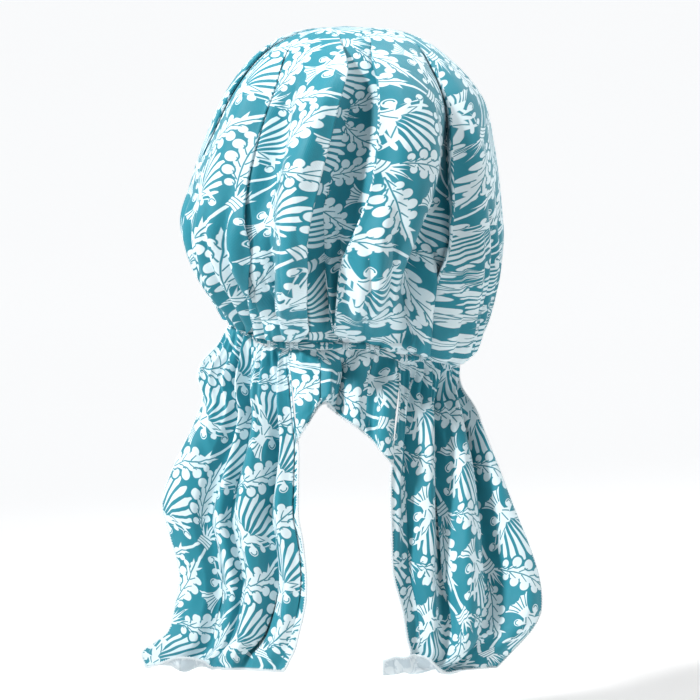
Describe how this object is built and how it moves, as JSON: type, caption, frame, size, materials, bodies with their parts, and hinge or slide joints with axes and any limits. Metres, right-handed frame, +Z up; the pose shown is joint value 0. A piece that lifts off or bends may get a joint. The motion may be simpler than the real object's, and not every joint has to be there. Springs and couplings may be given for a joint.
{
  "type": "pre-tied head scarf",
  "caption": "Pre-tied head scarf: a full folded crown gathered by an elastic band at the nape, with a short ruffle and two long pleated tails.",
  "frame": {"origin": "middle of the head opening, level with the elastic band at the nape, where a head holds the scarf", "axes": "+Z up through the top of the crown, the nape and the tails towards -Y, the brow towards +Y"},
  "size_m": [0.2836, 0.229, 0.4478],
  "materials": {
    "scarf_cloth": "satin",
    "hem_thread": "matte",
    "band_cloth": "matte"
  },
  "bodies": {
    "root": {"crown": "scarf_cloth", "nape_band": "band_cloth", "nape_ruffle": "scarf_cloth", "left_tail": "scarf_cloth", "right_tail": "scarf_cloth", "brow_hem": "hem_thread", "ruffle_hem": "hem_thread", "left_tail_hem": "hem_thread", "right_tail_hem": "hem_thread"}
  },
  "joints": []
}
